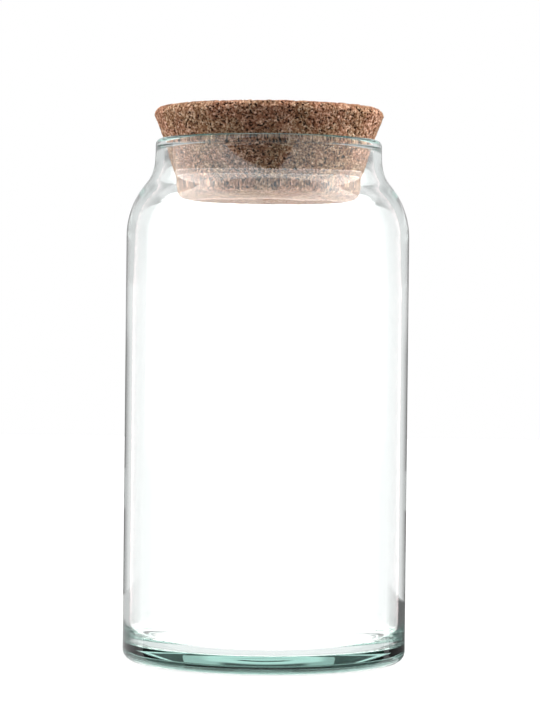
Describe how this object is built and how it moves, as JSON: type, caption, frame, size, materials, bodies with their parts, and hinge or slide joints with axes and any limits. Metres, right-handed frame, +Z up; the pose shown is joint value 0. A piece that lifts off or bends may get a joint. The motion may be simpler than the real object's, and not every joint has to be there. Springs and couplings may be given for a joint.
{
  "type": "storage jar",
  "caption": "Tall round glass storage jar with a wide mouth, and a tapered pressed-cork stopper that wedges in it.",
  "frame": {"origin": "centre of the foot ring, on the surface the jar stands on", "axes": "+Z up along the jar's axis; the jar is round, so +X and +Y are free: the picture looks along +Y"},
  "size_m": [0.14, 0.14, 0.2735],
  "materials": {
    "recycled_glass": "clear polished glass with a faint blue-green tint where it is thick",
    "pressed_cork": "matte pressed cork granules with small dark pits"
  },
  "bodies": {
    "jar": {"glass_jar": "recycled_glass"},
    "stopper": {"cork_stopper": "pressed_cork"}
  },
  "joints": [
    {"name": "stopper_lift", "type": "slide", "parent": "jar", "child": "stopper", "axis": [0, 0, 1], "range_m": [0, 0.06]}
  ]
}
